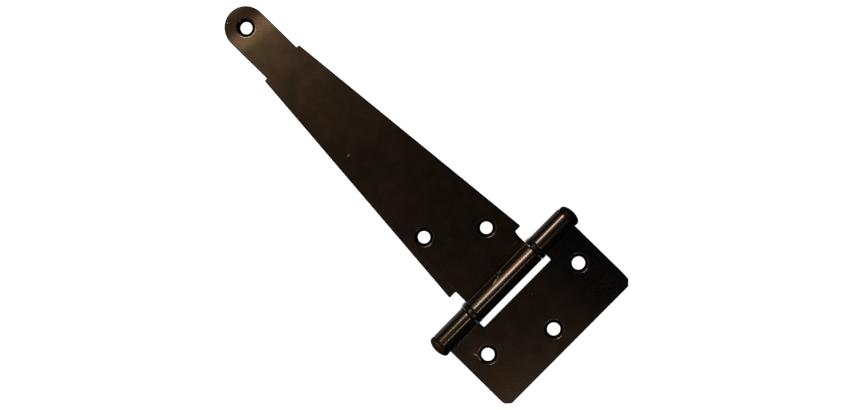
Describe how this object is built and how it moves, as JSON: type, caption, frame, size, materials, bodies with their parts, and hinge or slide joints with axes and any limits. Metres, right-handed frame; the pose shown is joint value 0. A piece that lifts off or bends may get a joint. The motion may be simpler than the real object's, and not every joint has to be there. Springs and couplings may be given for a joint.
{
  "type": "tee hinge",
  "caption": "Tee hinge: long tapered strap and short upright plate, countersunk for screws, rolled round a riveted pin with spacer washers.",
  "frame": {"origin": "on the plane of both leaves' backs, straight below the middle of the pin", "axes": "+Z out of the leaves' front faces, where the countersinks open; +Y along the pin towards its upper head; the strap points to -X and the plate to +X"},
  "size_m": [0.1884, 0.0768, 0.0091],
  "materials": {
    "strap_lacquer": "dark bronze-brown lacquer, half gloss",
    "plate_lacquer": "dark bronze-brown lacquer, half gloss",
    "pin_lacquer": "dark brown lacquer, half gloss",
    "washer_lacquer": "dark brown lacquer, half gloss"
  },
  "bodies": {
    "plate": {"plate_leaf": "plate_lacquer", "hinge_pin": "pin_lacquer", "upper_washer": "washer_lacquer", "lower_washer": "washer_lacquer"},
    "strap": {"strap_leaf": "strap_lacquer"}
  },
  "joints": [
    {"name": "strap_hinge", "type": "hinge", "parent": "plate", "child": "strap", "pos_m": [0, 0, 0.00455], "axis": [0, 1, 0], "range_deg": [-115, 187]}
  ]
}
